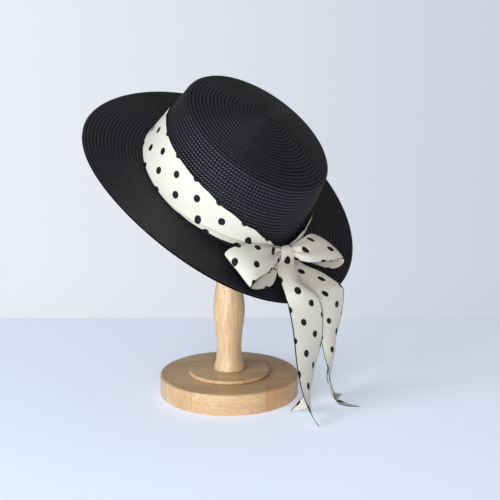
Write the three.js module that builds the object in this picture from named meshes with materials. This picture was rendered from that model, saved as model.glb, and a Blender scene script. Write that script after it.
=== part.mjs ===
// A black straw hat with a wide brim, a dotted ribbon band and bow, hung on a turned wooden stand.
// Millimetres, +Z up. The origin is the centre of the underside of the stand's base.
import * as THREE from 'three';
import { mergeVertices } from 'three/addons/utils/BufferGeometryUtils.js';

// ---------------------------------------------------------------- driving sizes

const GAP = 0.3;                      // running gap between neighbouring pieces

// The stand.
const BASE = { radius: 75, height: 22.5, rounding: 2.5 };
const STEP = { radius: 44, height: 4, rounding: 1.5 };
const HEAD_UNDERSIDE = 44;            // height of the head's underside above its ball's centre

// The hat hangs turned and tilted on the stand.
const HAT_CENTRE = new THREE.Vector3(-4.6, 15, 226);   // middle of the head opening
const HAT_TILT = 39;                  // degrees between the crown's axis and the vertical
const HAT_LEAN = -43;                 // compass direction that the crown leans to, degrees from +X
const HAT_TURN = 140;                 // turn of the oval about the crown's own axis, degrees

// The crown and brim, in the hat's own frame: origin at the head opening, +Z up the crown.
const STRAW = 2;                      // thickness of the sewn braid
const HEAD_LINE = { long: 98.5, short: 90.5 };         // half axes of the crown's oval at the brim
const BRIM_WIDTH = 64;
const CROWN = { height: 81, taper: 11.7, rounding: 8, roundingArc: 72, dome: 17.5 };
const DOME_POWER = 1.5;               // the tip falls from its middle as radius to this power
const BRIM_POWER = 1.6;               // the brim leaves its flat seat as width to this power

// Height of the brim's edge against the seat, as a sum of waves around the oval.
const BRIM_WAVES = [
  { waves: 0, cosine: -2.2, sine: 0 },
  { waves: 1, cosine: -6.95, sine: 0.9 },
  { waves: 2, cosine: -6.8, sine: -3.3 },
  { waves: 3, cosine: -0.1, sine: -1.4 },
];

// The ribbon.
const RIBBON = 1;                     // thickness that stands for the doubled cloth
const BOW_ANGLE = 175.5;              // place of the bow around the oval, degrees

// The band around the crown: its lower and upper edge and how far it stands off the straw.
const BAND_ROWS = [
  { angle: 0, low: 0.6, high: 44.5, off: 0.4 },
  { angle: 45, low: 0.6, high: 44.5, off: 0.4 },
  { angle: 85, low: 0.6, high: 44, off: 0.4 },
  { angle: 108, low: 1.2, high: 41.5, off: 0.5 },
  { angle: 127, low: 3, high: 36.5, off: 0.8 },
  { angle: 146, low: 4.5, high: 29.5, off: 1 },
  { angle: 160, low: 4, high: 21, off: 1 },
  { angle: 170, low: 2.5, high: 13, off: 1.2 },
  { angle: 179, low: 1.5, high: 10, off: 2.2 },
  { angle: 186, low: 1.5, high: 17, off: 3 },
  { angle: 192, low: 1.5, high: 26, off: 4 },
  { angle: 199, low: 1.5, high: 38, off: 3.4 },
  { angle: 214, low: 1.2, high: 43.5, off: 1.8 },
  { angle: 240, low: 0.6, high: 44.5, off: 0.6 },
  { angle: 300, low: 0.6, high: 44.5, off: 0.4 },
];

// The bow's own frame: origin on the head line behind the knot, +X to the right along the
// crown, +Y towards the crown, +Z up its axis. The knot is a rounded block.
const KNOT = {
  x: -1.1, y: -7.6, z: 9, halfWidth: 4.7, halfDepth: 4.5, halfHeight: 5.2, power: 3.2,
};

// Each loop leaves the knot in an upper layer, folds at its outer end and comes back below.
// A row is one section: the edge next to the crown, then the outer edge, then how far the
// middle of the section stands out from the straight line between them.
const LOOP_LEFT = [
  { inX: -6, inY: -5.5, inZ: 13, outX: -6, outY: -10, outZ: 9.8, bulge: 0 },
  { inX: -12.1, inY: -2.7, inZ: 15, outX: -14.6, outY: -13.6, outZ: 11.1, bulge: 0.6 },
  { inX: -21.3, inY: 0.1, inZ: 16.6, outX: -26.1, outY: -20.9, outZ: 12.6, bulge: 1.6 },
  { inX: -33.2, inY: 2.9, inZ: 17.2, outX: -38.3, outY: -27.4, outZ: 13.8, bulge: 3 },
  { inX: -47.4, inY: 4.9, inZ: 17.2, outX: -50.7, outY: -31.3, outZ: 14.5, bulge: 3 },
  { inX: -60.9, inY: 6.7, inZ: 16.4, outX: -63.4, outY: -35.2, outZ: 13.8, bulge: 2.5 },
  { inX: -70.4, inY: 7.1, inZ: 14.6, outX: -70.6, outY: -37.6, outZ: 11.2, bulge: 1.5 },
  { inX: -76.7, inY: 5.8, inZ: 11.6, outX: -73.5, outY: -39.1, outZ: 8, bulge: 0.5 },
  { inX: -76.6, inY: 3.5, inZ: 8.2, outX: -69.8, outY: -40.8, outZ: 5.4, bulge: 0 },
  { inX: -66.6, inY: 0.7, inZ: 6.4, outX: -59.6, outY: -42.1, outZ: 4.4, bulge: 0 },
  { inX: -49.6, inY: -1, inZ: 6, outX: -45.8, outY: -41.1, outZ: 4.1, bulge: 0 },
  { inX: -33.7, inY: -2.6, inZ: 6.1, outX: -33.8, outY: -34.9, outZ: 4.3, bulge: 0 },
  { inX: -18.9, inY: -4.4, inZ: 6.7, outX: -20.6, outY: -22.4, outZ: 5.4, bulge: 0 },
  { inX: -6, inY: -5.9, inZ: 8.2, outX: -6, outY: -10, outZ: 7, bulge: 0 },
];
const LOOP_RIGHT = [
  { inX: 4, inY: -5.5, inZ: 13.2, outX: 4, outY: -11.5, outZ: 10.5, bulge: 0 },
  { inX: 8.5, inY: -4.6, inZ: 15, outX: 8.5, outY: -18.4, outZ: 11.3, bulge: 0.6 },
  { inX: 14.6, inY: -3.3, inZ: 16.4, outX: 15, outY: -26, outZ: 12.2, bulge: 2 },
  { inX: 23.3, inY: -1.3, inZ: 17.4, outX: 27.9, outY: -30.1, outZ: 13, bulge: 2.5 },
  { inX: 32.2, inY: 1, inZ: 18, outX: 44.5, outY: -31.2, outZ: 12.8, bulge: 2.5 },
  { inX: 40.7, inY: 2.9, inZ: 17.8, outX: 59.4, outY: -31, outZ: 12, bulge: 2.5 },
  { inX: 48.7, inY: 3.5, inZ: 16.2, outX: 70.6, outY: -30.3, outZ: 10, bulge: 3 },
  { inX: 52.9, inY: 2.6, inZ: 12.8, outX: 74.6, outY: -31.3, outZ: 7.6, bulge: 3 },
  { inX: 51.3, inY: 0, inZ: 9.6, outX: 72.2, outY: -33.9, outZ: 5.6, bulge: 2 },
  { inX: 44.2, inY: -2, inZ: 7.8, outX: 63, outY: -36.6, outZ: 4.6, bulge: 0.5 },
  { inX: 34.6, inY: -3.8, inZ: 7, outX: 50.4, outY: -36.3, outZ: 4.5, bulge: 0 },
  { inX: 24, inY: -5, inZ: 7, outX: 38.1, outY: -31, outZ: 5, bulge: 0 },
  { inX: 13, inY: -5.5, inZ: 7.5, outX: 20, outY: -20, outZ: 6, bulge: 0 },
  { inX: 4, inY: -6, inZ: 8.2, outX: 3.9, outY: -10, outZ: 7, bulge: 0 },
];

// The tails, in the stand's frame. The front one starts behind the knot and passes over it,
// the back one starts under it. Both cross the brim and hang to the table, where they lie.
// A row is one section: the left edge, then the right edge.
const TAIL_FRONT = [
  { leftX: 54, leftY: -48, leftZ: 172.3, rightX: 59.1, rightY: -43, rightZ: 172.3, bulge: 0 },
  { leftX: 55, leftY: -51.5, leftZ: 173.4, rightX: 61.6, rightY: -45.2, rightZ: 173.6, bulge: 0 },
  { leftX: 55.1, leftY: -56.4, leftZ: 171, rightX: 65.1, rightY: -47.9, rightZ: 170.3, bulge: 0.3 },
  { leftX: 54.9, leftY: -58.4, leftZ: 166.6, rightX: 66.7, rightY: -48.5, rightZ: 165.4, bulge: 0.5 },
  { leftX: 54, leftY: -60.4, leftZ: 162.6, rightX: 67.4, rightY: -49, rightZ: 161.2, bulge: 1 },
  { leftX: 51, leftY: -65.5, leftZ: 158.6, rightX: 68, rightY: -56, rightZ: 155.5, bulge: 2 },
  { leftX: 50, leftY: -73, leftZ: 154, rightX: 70.5, rightY: -64, rightZ: 149.5, bulge: 3 },
  { leftX: 52.5, leftY: -84, leftZ: 146, rightX: 74, rightY: -71, rightZ: 141, bulge: 4 },
  { leftX: 57, leftY: -94.5, leftZ: 135, rightX: 85.8, rightY: -76.5, rightZ: 131.9, bulge: 4 },
  { leftX: 60.5, leftY: -99, leftZ: 122, rightX: 94.4, rightY: -71.5, rightZ: 117.1, bulge: 2 },
  { leftX: 64.5, leftY: -99.5, leftZ: 102, rightX: 96.7, rightY: -65, rightZ: 95, bulge: 2 },
  { leftX: 67, leftY: -98.5, leftZ: 81, rightX: 95.5, rightY: -60, rightZ: 73, bulge: 3 },
  { leftX: 69.5, leftY: -98.5, leftZ: 60, rightX: 90.5, rightY: -60, rightZ: 53, bulge: 4 },
  { leftX: 74, leftY: -100.5, leftZ: 38, rightX: 86, rightY: -60, rightZ: 34.1, bulge: 4 },
  { leftX: 79.5, leftY: -103.5, leftZ: 22, rightX: 78.2, rightY: -60.5, rightZ: 17.6, bulge: 5 },
  { leftX: 86.5, leftY: -106.5, leftZ: 9, rightX: 71.4, rightY: -61.5, rightZ: 8.8, bulge: 3 },
  { leftX: 92, leftY: -107.5, leftZ: 1.6, rightX: 65, rightY: -63.4, rightZ: 1.4, bulge: 0 },
];
const TAIL_BACK = [
  { leftX: 55, leftY: -49.3, leftZ: 158.9, rightX: 57.2, rightY: -41.5, rightZ: 161.9, bulge: 0 },
  { leftX: 59.2, leftY: -50.6, leftZ: 155.6, rightX: 64.5, rightY: -38, rightZ: 160, bulge: 0 },
  { leftX: 66, leftY: -50, leftZ: 152, rightX: 80, rightY: -37, rightZ: 150.5, bulge: 0.5 },
  { leftX: 69.1, leftY: -55.1, leftZ: 144.5, rightX: 95, rightY: -33, rightZ: 143, bulge: 1 },
  { leftX: 73.9, leftY: -63.2, leftZ: 136.5, rightX: 109, rightY: -33.5, rightZ: 134.7, bulge: 1 },
  { leftX: 83.9, leftY: -66.8, leftZ: 128.1, rightX: 118.3, rightY: -36.5, rightZ: 127.5, bulge: 1.5 },
  { leftX: 90.6, leftY: -69, leftZ: 122.6, rightX: 120, rightY: -35, rightZ: 119.5, bulge: 1.5 },
  { leftX: 91.3, leftY: -68.3, leftZ: 115.7, rightX: 119.6, rightY: -33.5, rightZ: 109, bulge: 2.5 },
  { leftX: 94.2, leftY: -57.5, leftZ: 91.4, rightX: 116.9, rightY: -27, rightZ: 84.3, bulge: 3.5 },
  { leftX: 97.6, leftY: -55, leftZ: 66.5, rightX: 110.8, rightY: -22, rightZ: 59.4, bulge: 7 },
  { leftX: 103, leftY: -54.5, leftZ: 46, rightX: 107.7, rightY: -18, rightZ: 38.6, bulge: 4 },
  { leftX: 107, leftY: -56, leftZ: 28, rightX: 105.8, rightY: -18, rightZ: 22.3, bulge: 0 },
  { leftX: 113.5, leftY: -53, leftZ: 8.5, rightX: 112.5, rightY: -13, rightZ: 6, bulge: -3 },
  { leftX: 123, leftY: -51, leftZ: 2.4, rightX: 116, rightY: -10.5, rightZ: 1.8, bulge: 0 },
  { leftX: 137.5, leftY: -50.5, leftZ: 1.4, rightX: 122, rightY: -11.5, rightZ: 1.4, bulge: 0 },
];

const TAIL_NOTCH = 0.1;               // depth of the notch in a tail's end, share of its rows

// The post's turned outline, from the step up to the head.
const POST_ROWS = [
  { height: 0, radius: 17 },
  { height: 4, radius: 16.4 },
  { height: 12, radius: 14.3 },
  { height: 25, radius: 13.3 },
  { height: 40, radius: 14.3 },
  { height: 54, radius: 16.2 },
  { height: 66, radius: 17.1 },
  { height: 78, radius: 16.2 },
  { height: 89, radius: 14.4 },
  { height: 105, radius: 12.8 },
  { height: 130, radius: 12.5 },
];

// Facets.
const AROUND_HAT = 60;
const ALONG_LOOP = 30;
const ALONG_TAIL = 30;
const AROUND_BAND = 90;
const ACROSS_RIBBON = 4;

// ---------------------------------------------------------------- finishes

const straw = new THREE.MeshStandardMaterial({ color: '#26252b', roughness: 0.55, metalness: 0 });
const ribbon = new THREE.MeshStandardMaterial({ color: '#d9d6cc', roughness: 0.7, metalness: 0 });
const wood = new THREE.MeshStandardMaterial({ color: '#d6b184', roughness: 0.5, metalness: 0 });

// ---------------------------------------------------------------- solids from surfaces

const radians = THREE.MathUtils.degToRad;

// One closed solid from its triangles: shared corners are merged, empty triangles are dropped
// and the faces are turned outwards.
function closedSolid(corners, triangles) {
  const numbers = corners.flatMap((p) => p.toArray());
  const loose = new THREE.BufferGeometry();
  loose.setAttribute('position', new THREE.Float32BufferAttribute(numbers, 3));
  loose.setIndex(triangles.flat());
  const merged = mergeVertices(loose, 1e-3);
  const index = [...merged.index.array];
  const position = merged.attributes.position;
  const kept = [];
  let sixVolumes = 0;
  for (let i = 0; i < index.length; i += 3) {
    const [a, b, c] = index.slice(i, i + 3);
    if (a === b || b === c || c === a) continue;
    kept.push([a, b, c]);
    const [pa, pb, pc] = [a, b, c].map((k) => new THREE.Vector3().fromBufferAttribute(position, k));
    sixVolumes += pa.dot(pb.cross(pc));
  }
  merged.setIndex(kept.flatMap(([a, b, c]) => (sixVolumes > 0 ? [a, b, c] : [a, c, b])));
  merged.computeVertexNormals();
  return merged;
}

const cornersOf = ({ attributes: { position } }) => Array.from(
  { length: position.count }, (_, k) => new THREE.Vector3().fromBufferAttribute(position, k));

const trianglesOf = ({ index: { array } }) => Array.from(
  { length: array.length / 3 }, (_, k) => [...array.slice(3 * k, 3 * k + 3)]);

// A wall of even thickness. surface(u, v) gives its middle for u and v from 0 to 1; a ring
// closes on itself in u. The two faces lie half a thickness along the surface's normals.
function wall(surface, { alongSteps, acrossSteps, thickness, ring = false }) {
  const rows = ring ? alongSteps : alongSteps + 1;
  const corners = [];
  const nudge = 1e-3;
  const { clamp } = THREE.MathUtils;
  const at = (u, v) => surface(ring ? (u + 1) % 1 : clamp(u, 0, 1), clamp(v, 0, 1));
  for (let i = 0; i < rows; i++) {
    for (let j = 0; j <= acrossSteps; j++) {
      const [u, v] = [i / alongSteps, j / acrossSteps];
      const middle = at(u, v);
      const alongU = at(u + nudge, v).sub(at(u - nudge, v));
      const acrossV = at(u, v + nudge).sub(at(u, v - nudge));
      const normal = alongU.cross(acrossV).normalize();
      corners.push(middle.clone().addScaledVector(normal, thickness / 2));
      corners.push(middle.clone().addScaledVector(normal, -thickness / 2));
    }
  }
  const corner = (i, j, side) => 2 * ((i % rows) * (acrossSteps + 1) + j) + side;
  const triangles = [];
  const quad = (a, b, c, d) => triangles.push([a, b, c], [a, c, d]);
  for (let i = 0; i < alongSteps; i++) {
    for (let j = 0; j < acrossSteps; j++) {
      quad(corner(i, j, 0), corner(i + 1, j, 0), corner(i + 1, j + 1, 0), corner(i, j + 1, 0));
      quad(corner(i, j, 1), corner(i, j + 1, 1), corner(i + 1, j + 1, 1), corner(i + 1, j, 1));
    }
    quad(corner(i, 0, 1), corner(i + 1, 0, 1), corner(i + 1, 0, 0), corner(i, 0, 0));
    quad(corner(i, acrossSteps, 0), corner(i + 1, acrossSteps, 0),
      corner(i + 1, acrossSteps, 1), corner(i, acrossSteps, 1));
  }
  for (let j = 0; !ring && j < acrossSteps; j++) {
    quad(corner(0, j, 1), corner(0, j, 0), corner(0, j + 1, 0), corner(0, j + 1, 1));
    const last = alongSteps;
    quad(corner(last, j, 0), corner(last, j, 1), corner(last, j + 1, 1), corner(last, j + 1, 0));
  }
  return closedSolid(corners, triangles);
}

// A solid of revolution from its outline, which starts and ends on the axis.
function turned(outline, segments) {
  const lathe = new THREE.LatheGeometry(outline.map(([r, z]) => new THREE.Vector2(r, z)), segments);
  lathe.rotateX(Math.PI / 2);
  return closedSolid(cornersOf(lathe), trianglesOf(lathe));
}

// Reads one column of a table of rows at a position between them, as a smooth curve.
function smoothColumn(rows, column) {
  const points = rows.map((row) => new THREE.Vector3(row[column], 0, 0));
  const curve = new THREE.CatmullRomCurve3(points, false, 'catmullrom');
  return (t) => curve.getPoint(t).x;
}

function piece(name, geometry, material) {
  const mesh = new THREE.Mesh(geometry, material);
  mesh.name = name;
  return mesh;
}

// ---------------------------------------------------------------- the crown and brim

const ovalPoint = (angle, inset, z) => new THREE.Vector3(
  (HEAD_LINE.long - inset) * Math.cos(angle), (HEAD_LINE.short - inset) * Math.sin(angle), z);

// The crown's outline from the brim up its side, over the rounding and in to the middle of the
// tip. Each entry is how far the oval has shrunk and the height there.
function crownOutline() {
  const outline = [];
  const sideTop = CROWN.height - CROWN.rounding;
  const sideSteps = 3;
  for (let k = 0; k <= sideSteps; k++) {
    const share = k / sideSteps;
    outline.push({ inset: CROWN.taper * share, z: GAP / 2 + (sideTop - GAP / 2) * share });
  }
  for (let k = 1; k <= 4; k++) {
    const turn = radians(CROWN.roundingArc * k / 4);
    outline.push({
      inset: CROWN.taper + CROWN.rounding * (1 - Math.cos(turn)),
      z: sideTop + CROWN.rounding * Math.sin(turn),
    });
  }
  return outline;
}

// The tip's height at a share of its radius.
const tipHeight = (share) => CROWN.height + CROWN.dome * (1 - share ** DOME_POWER);

// The middle of the crown's wall, v = 0 at the brim and v = 1 at the middle of the tip. The
// outer face follows the outline, so the wall's middle lies half a thickness inside it.
const TIP_STEPS = 5;
function crownPoints(depth) {
  const outline = crownOutline();
  const rim = outline[outline.length - 1];
  const points = outline.map(({ inset, z }) => ({ inset, shrink: 1, z }));
  for (let k = 1; k <= TIP_STEPS; k++) {
    const share = 1 - k / TIP_STEPS;
    points.push({ inset: rim.inset, shrink: share, z: tipHeight(share) });
  }
  return points.map((point, k) => {
    const before = points[Math.max(k - 1, 0)];
    const after = points[Math.min(k + 1, points.length - 1)];
    const radius = (p) => (HEAD_LINE.short - p.inset) * p.shrink;
    const run = radius(before) - radius(after);
    const rise = after.z - before.z;
    const length = Math.hypot(run, rise);
    const inward = k === points.length - 1 ? 0 : rise / length;
    const down = k === points.length - 1 ? 1 : run / length;
    const atSeat = k === 0 ? 0 : 1;
    return { ...point, extra: depth * inward, z: point.z - depth * down * atSeat };
  });
}

function crownSurfacePoint(point, angle) {
  const long = Math.max((HEAD_LINE.long - point.inset) * point.shrink - point.extra, 0);
  const short = Math.max((HEAD_LINE.short - point.inset) * point.shrink - point.extra, 0);
  return new THREE.Vector3(long * Math.cos(angle), short * Math.sin(angle), point.z);
}

function makeCrown() {
  const profile = [...crownPoints(0), ...crownPoints(STRAW).reverse()];
  const corners = [];
  for (let i = 0; i < AROUND_HAT; i++) {
    const angle = 2 * Math.PI * i / AROUND_HAT;
    for (const point of profile) corners.push(crownSurfacePoint(point, angle));
  }
  const corner = (i, j) => (i % AROUND_HAT) * profile.length + (j % profile.length);
  const triangles = [];
  const middle = profile.length / 2 - 1;
  for (let i = 0; i < AROUND_HAT; i++) {
    for (let j = 0; j < profile.length; j++) {
      if (j === middle) continue;     // the two middles of the tip aren't joined
      triangles.push([corner(i, j), corner(i + 1, j), corner(i + 1, j + 1)]);
      triangles.push([corner(i, j), corner(i + 1, j + 1), corner(i, j + 1)]);
    }
  }
  return closedSolid(corners, triangles);
}

const brimEdgeHeight = (angle) => BRIM_WAVES.reduce((sum, row) => sum
  + row.cosine * Math.cos(row.waves * angle) + row.sine * Math.sin(row.waves * angle), 0);

// The middle of the brim's wall: u goes round the oval and v from the head opening to the edge.
function brimSurface(u, v) {
  const angle = 2 * Math.PI * u;
  const inner = -STRAW / BRIM_WIDTH;
  const share = inner + (1 - inner) * v;
  const rise = brimEdgeHeight(angle) * Math.max(share, 0) ** BRIM_POWER;
  return ovalPoint(angle, -BRIM_WIDTH * share, rise - (STRAW + GAP) / 2);
}

function makeBrim() {
  return wall(brimSurface, {
    alongSteps: AROUND_HAT, acrossSteps: 6, thickness: STRAW, ring: true });
}

// ---------------------------------------------------------------- the band and bow

// Reads one column of the band's table at an angle, eased from row to row around the ring.
function bandColumn(column, degrees) {
  const turn = ((degrees % 360) + 360) % 360;
  const next = BAND_ROWS.findIndex((row) => row.angle > turn);
  const after = next < 0 ? { ...BAND_ROWS[0], angle: 360 } : BAND_ROWS[next];
  const before = BAND_ROWS[next < 0 ? BAND_ROWS.length - 1 : next - 1];
  const share = (turn - before.angle) / (after.angle - before.angle);
  const eased = THREE.MathUtils.smoothstep(share, 0, 1);
  return THREE.MathUtils.lerp(before[column], after[column], eased);
}

// The middle of the band: u goes round the crown and v from its lower to its upper edge.
function bandSurface(u, v) {
  const degrees = 360 * u;
  const z = THREE.MathUtils.lerp(bandColumn('low', degrees), bandColumn('high', degrees), v);
  const slope = CROWN.taper / (CROWN.height - CROWN.rounding);
  const inset = slope * z - bandColumn('off', degrees) - RIBBON / 2;
  return ovalPoint(radians(degrees), inset, z);
}

function makeBand() {
  return wall(bandSurface, {
    alongSteps: AROUND_BAND, acrossSteps: 2, thickness: RIBBON, ring: true });
}

// A strip of ribbon through the sections of a table: a smooth curve along each edge, with the
// middle of each section standing out from the line between them by the row's bulge.
function strip(rows, [first, second]) {
  const edge = (side) => new THREE.CatmullRomCurve3(rows.map((row) => new THREE.Vector3(
    row[`${side}X`], row[`${side}Y`], row[`${side}Z`])), false, 'catmullrom', 0.5);
  const edges = [edge(first), edge(second)];
  const bulge = smoothColumn(rows, 'bulge');
  return (u, v) => {
    const [a, b] = edges.map((curve) => curve.getPoint(u));
    const along = edges[0].getTangent(u).add(edges[1].getTangent(u));
    const out = along.cross(b.clone().sub(a)).normalize();
    return a.lerp(b, v).addScaledVector(out, 4 * v * (1 - v) * bulge(u));
  };
}

// A loop's first edge is the one on the left of someone who walks out along it from the knot.
function makeLoop(rows, edges) {
  return wall(strip(rows, edges), {
    alongSteps: ALONG_LOOP, acrossSteps: ACROSS_RIBBON, thickness: RIBBON });
}

// A tail ends in a swallow's tail: its middle stops short of its two points.
function makeTail(rows) {
  const whole = strip(rows, ['left', 'right']);
  const cut = (u, v) => whole(u * (1 - TAIL_NOTCH * (1 - Math.abs(2 * v - 1))), v);
  return wall(cut, { alongSteps: ALONG_TAIL, acrossSteps: ACROSS_RIBBON, thickness: RIBBON });
}

// The knot is a ball whose rounding is squared off by a power.
function makeKnot() {
  const squared = (value) => Math.sign(value) * Math.abs(value) ** (2 / KNOT.power);
  const ball = new THREE.SphereGeometry(1, 20, 12);
  const corners = cornersOf(ball);
  for (const p of corners) {
    const flat = Math.hypot(p.x, p.z) || 1;
    const [east, north] = [p.x / flat, p.z / flat];
    const [level, high] = [squared(Math.min(flat, 1)), squared(p.y)];
    const round = Math.abs(p.y) > 0.999 ? 0 : level;
    p.set(KNOT.x + KNOT.halfWidth * squared(east) * round,
      KNOT.y - KNOT.halfDepth * squared(north) * round,
      KNOT.z + KNOT.halfHeight * high);
  }
  return closedSolid(corners, trianglesOf(ball));
}

// ---------------------------------------------------------------- the stand

function roundedDisc({ radius, height, rounding }, bottom) {
  const outline = [[0, bottom], [radius - 1, bottom], [radius, bottom + 1]];
  for (let k = 0; k <= 3; k++) {
    const turn = radians(30 * k);
    outline.push([
      radius - rounding * (1 - Math.cos(turn)),
      bottom + height - rounding * (1 - Math.sin(turn)),
    ]);
  }
  outline.push([0, bottom + height]);
  return outline;
}

const STEP_BOTTOM = BASE.height + GAP;
const POST_BOTTOM = STEP_BOTTOM + STEP.height + GAP;

function makePost(top) {
  const outline = POST_ROWS.map(({ height, radius }) => [radius, POST_BOTTOM + height]);
  const last = POST_ROWS[POST_ROWS.length - 1];
  return turned([[0, POST_BOTTOM], ...outline, [last.radius, top], [0, top]], 28);
}

// The largest ball that fits under the crown with its centre on the post's axis.
function ballUnderCrown(hatMatrix) {
  const inside = [];
  for (const point of crownPoints(STRAW)) {
    for (let i = 0; i < AROUND_HAT; i++) {
      inside.push(crownSurfacePoint(point, 2 * Math.PI * i / AROUND_HAT).applyMatrix4(hatMatrix));
    }
  }
  let best = { radius: 0, centre: 0 };
  for (let centre = HAT_CENTRE.z; centre < HAT_CENTRE.z + CROWN.height / 2; centre += 0.5) {
    const from = new THREE.Vector3(0, 0, centre);
    const nearest = inside.reduce((least, p) => Math.min(least, p.distanceTo(from)), Infinity);
    const radius = nearest - 1.5 * GAP;
    if (radius > best.radius) best = { radius, centre };
  }
  return best;
}

// The head is the cap of that ball above its underside, with its rim bevelled.
const HEAD_BEVEL = { inset: 2, turn: 2 };              // millimetres, degrees
function makeHead({ radius, centre }) {
  const start = Math.asin(HEAD_UNDERSIDE / radius);
  const steps = 8;
  const rim = radius * Math.cos(start);
  const underside = centre + HEAD_UNDERSIDE;
  const outline = [[0, underside], [rim - HEAD_BEVEL.inset, underside]];
  for (let k = 0; k <= steps; k++) {
    const turn = THREE.MathUtils.lerp(start + radians(HEAD_BEVEL.turn), Math.PI / 2, k / steps);
    outline.push([k === steps ? 0 : radius * Math.cos(turn), centre + radius * Math.sin(turn)]);
  }
  return turned(outline, 40);
}

// ---------------------------------------------------------------- the assembly

const axis = new THREE.Vector3(
  Math.sin(radians(HAT_TILT)) * Math.cos(radians(HAT_LEAN)),
  Math.sin(radians(HAT_TILT)) * Math.sin(radians(HAT_LEAN)),
  Math.cos(radians(HAT_TILT)));
const up = new THREE.Vector3(0, 0, 1);

const hat = new THREE.Group();
hat.position.copy(HAT_CENTRE);
hat.quaternion.setFromUnitVectors(up, axis)
  .multiply(new THREE.Quaternion().setFromAxisAngle(up, radians(HAT_TURN)));
hat.add(piece('crown', makeCrown(), straw));
hat.add(piece('brim', makeBrim(), straw));
hat.add(piece('hat_band', makeBand(), ribbon));

// The bow's frame stands on the head line with +Y facing the crown.
const bowAngle = radians(BOW_ANGLE);
const outwards = new THREE.Vector3(
  Math.cos(bowAngle) / HEAD_LINE.long, Math.sin(bowAngle) / HEAD_LINE.short, 0);
const bow = new THREE.Group();
bow.position.copy(ovalPoint(bowAngle, 0, 0));
bow.rotation.z = Math.atan2(outwards.y, outwards.x) + Math.PI / 2;
bow.add(piece('bow_knot', makeKnot(), ribbon));
bow.add(piece('bow_loop_left', makeLoop(LOOP_LEFT, ['in', 'out']), ribbon));
bow.add(piece('bow_loop_right', makeLoop(LOOP_RIGHT, ['out', 'in']), ribbon));
hat.add(bow);
hat.updateMatrixWorld(true);

const ball = ballUnderCrown(hat.matrixWorld);
const stand = new THREE.Group();
stand.add(piece('stand_base', turned(roundedDisc(BASE, 0), 48), wood));
stand.add(piece('stand_step', turned(roundedDisc(STEP, STEP_BOTTOM), 40), wood));
stand.add(piece('stand_post', makePost(ball.centre + HEAD_UNDERSIDE - GAP), wood));
stand.add(piece('stand_head', makeHead(ball), wood));

const hatOnStand = new THREE.Group();
hatOnStand.add(stand, hat);
hatOnStand.add(piece('tail_front', makeTail(TAIL_FRONT), ribbon));
hatOnStand.add(piece('tail_back', makeTail(TAIL_BACK), ribbon));

export default hatOnStand;
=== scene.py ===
# %% [markdown]
# # A straw hat with a dotted ribbon, on a turned wooden stand
# The hat is black paper straw, sewn row by row into an oval crown and a wide waved brim. A pale
# ribbon with dark dots goes round the crown, is tied in a bow low on one side, and its two long
# tails hang over the brim to the table. The hat leans on a beech stand. The solids that carry,
# collide and weigh are loaded first and stay fixed; everything below dresses them.

import bmesh
import bpy
import numpy as np
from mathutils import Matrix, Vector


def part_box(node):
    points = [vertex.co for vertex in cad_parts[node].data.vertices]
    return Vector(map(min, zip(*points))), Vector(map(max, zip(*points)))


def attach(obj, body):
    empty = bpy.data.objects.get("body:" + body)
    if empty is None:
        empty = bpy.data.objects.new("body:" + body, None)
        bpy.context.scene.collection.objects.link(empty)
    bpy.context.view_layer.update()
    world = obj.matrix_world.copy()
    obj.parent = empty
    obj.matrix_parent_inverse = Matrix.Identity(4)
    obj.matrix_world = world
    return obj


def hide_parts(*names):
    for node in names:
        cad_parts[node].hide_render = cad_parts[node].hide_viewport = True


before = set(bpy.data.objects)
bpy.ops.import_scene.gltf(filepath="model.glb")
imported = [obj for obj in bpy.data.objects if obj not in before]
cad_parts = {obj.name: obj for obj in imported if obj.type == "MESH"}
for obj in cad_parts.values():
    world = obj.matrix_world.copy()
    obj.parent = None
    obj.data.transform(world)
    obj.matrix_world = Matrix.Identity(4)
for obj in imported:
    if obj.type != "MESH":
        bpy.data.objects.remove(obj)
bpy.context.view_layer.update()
MM = 0.001  # the tables below are in millimetres, Blender's scene is in metres
print("nodes:", ", ".join(sorted(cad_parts)))

# %% [markdown]
# ## The camera
# The hat is seen with a long lens from a little above the table. A camera that looks down 12.5
# degrees from more than a metre away keeps the base's ellipse flat and the brim calm.

# %% Camera
CAMERA_AIM = (0.0226, 0.0, 0.1585)
CAMERA_DISTANCE = 1.1725
CAMERA_PITCH = np.radians(12.5)
CAMERA_LENS = 79.4

camera = bpy.data.objects.new("camera", bpy.data.cameras.new("camera"))
camera.data.lens = CAMERA_LENS
camera.location = (
    CAMERA_AIM[0],
    CAMERA_AIM[1] - CAMERA_DISTANCE * np.cos(CAMERA_PITCH),
    CAMERA_AIM[2] + CAMERA_DISTANCE * np.sin(CAMERA_PITCH),
)
camera.rotation_euler = (np.pi / 2 - CAMERA_PITCH, 0, 0)
bpy.context.collection.objects.link(camera)
bpy.context.scene.camera = camera
print("camera at", [round(x, 3) for x in camera.location])

# %% [markdown]
# ## Grids of points
# Every piece here is a surface that a formula gives on a grid: so many steps one way, so many
# the other. One helper turns a grid into a mesh. It can close the grid on itself either way,
# and it writes a UV map, so that a pattern can follow the cloth or the straw. Points that fall
# together, as at a pole, are merged, so that the mesh is one closed skin.

# %% A mesh from a grid
MERGE_DISTANCE = 2e-6  # metres; points closer than this become one
LEAST_EDGE = 1e-7  # metres; edges shorter than this are closed up
LEAST_LENGTH = 1e-9  # keeps a normal of no length from dividing by zero


def corners(grid):
    """The four corners of every quad of the grid, side by side."""
    return np.stack([grid[:-1, :-1], grid[1:, :-1], grid[1:, 1:], grid[:-1, 1:]], axis=2)


def wrapped(grid, along, across):
    """The grid with its first row and column repeated at the end where it closes on itself."""
    if along:
        grid = np.concatenate([grid, grid[:1]], axis=0)
    if across:
        grid = np.concatenate([grid, grid[:, :1]], axis=1)
    return grid


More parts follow.
